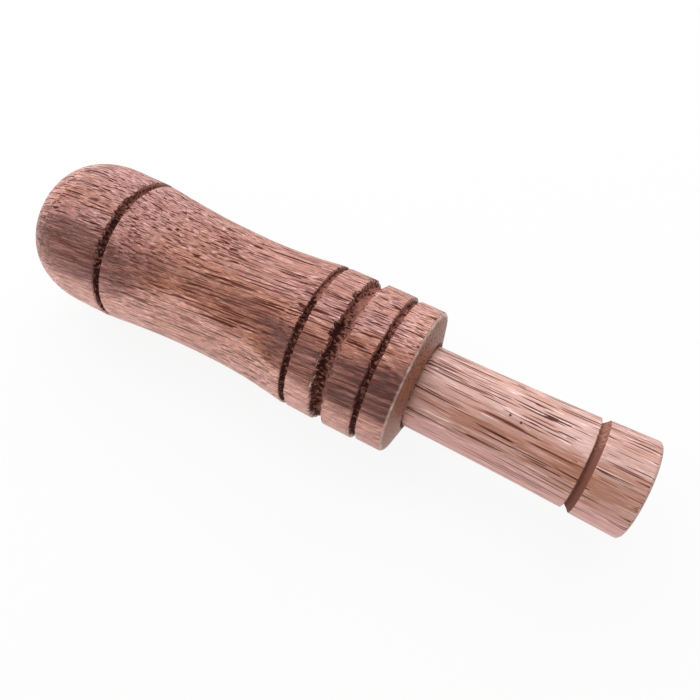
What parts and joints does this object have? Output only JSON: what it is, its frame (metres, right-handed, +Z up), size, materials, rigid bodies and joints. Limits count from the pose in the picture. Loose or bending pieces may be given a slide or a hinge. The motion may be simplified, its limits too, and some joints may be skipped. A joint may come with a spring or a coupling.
{
  "type": "bird call",
  "caption": "Turned wooden bird call with a domed mouth end, burnt grooves and a pull-out insert that carries a reed assembly, blown from one end to imitate a bird.",
  "frame": {"origin": "on the surface that the call lies on, under the middle of its length", "axes": "+X along the turning axis from the mouth end to the exhaust end, +Z up, away from the surface that the call lies on"},
  "size_m": [0.1504, 0.0356, 0.0356],
  "materials": {
    "barrel_wood": "satin",
    "insert_wood": "satin",
    "seal_rubber": "matte",
    "tone_board_plastic": "moulded",
    "reed_film": "satin",
    "cork": "raw"
  },
  "bodies": {
    "barrel": {"barrel": "barrel_wood"},
    "seal_rings": {"front_o_ring": "seal_rubber", "rear_o_ring": "seal_rubber"},
    "insert": {"insert": "insert_wood", "tone_board": "tone_board_plastic", "reed_wedge": "cork"},
    "main_reed": {"main_reed": "reed_film"},
    "top_reed": {"top_reed": "reed_film"}
  },
  "joints": [
    {"name": "insert_slide", "type": "slide", "parent": "barrel", "child": "seal_rings", "axis": [1, 0, 0], "range_m": [0, 0.075]},
    {"name": "insert_turn", "type": "hinge", "parent": "seal_rings", "child": "insert", "pos_m": [0.0144, 0, 0.0178], "axis": [1, 0, 0], "continuous": true},
    {"name": "main_reed_flex", "type": "hinge", "parent": "insert", "child": "main_reed", "pos_m": [-0.0128, 0, 0.0178], "axis": [0, -1, 0], "range_deg": [-1, 1.75], "stiffness_Nm_per_rad": 0.015, "deforming": ["main_reed"]},
    {"name": "top_reed_flex", "type": "hinge", "parent": "insert", "child": "top_reed", "pos_m": [-0.0128, 0, 0.0178], "axis": [0, -1, 0], "range_deg": [-1, 1.75], "stiffness_Nm_per_rad": 0.0055, "deforming": ["top_reed"]}
  ],
  "couplings": [
    {"joint": "top_reed_flex", "follows": "main_reed_flex", "ratio": 1}
  ]
}
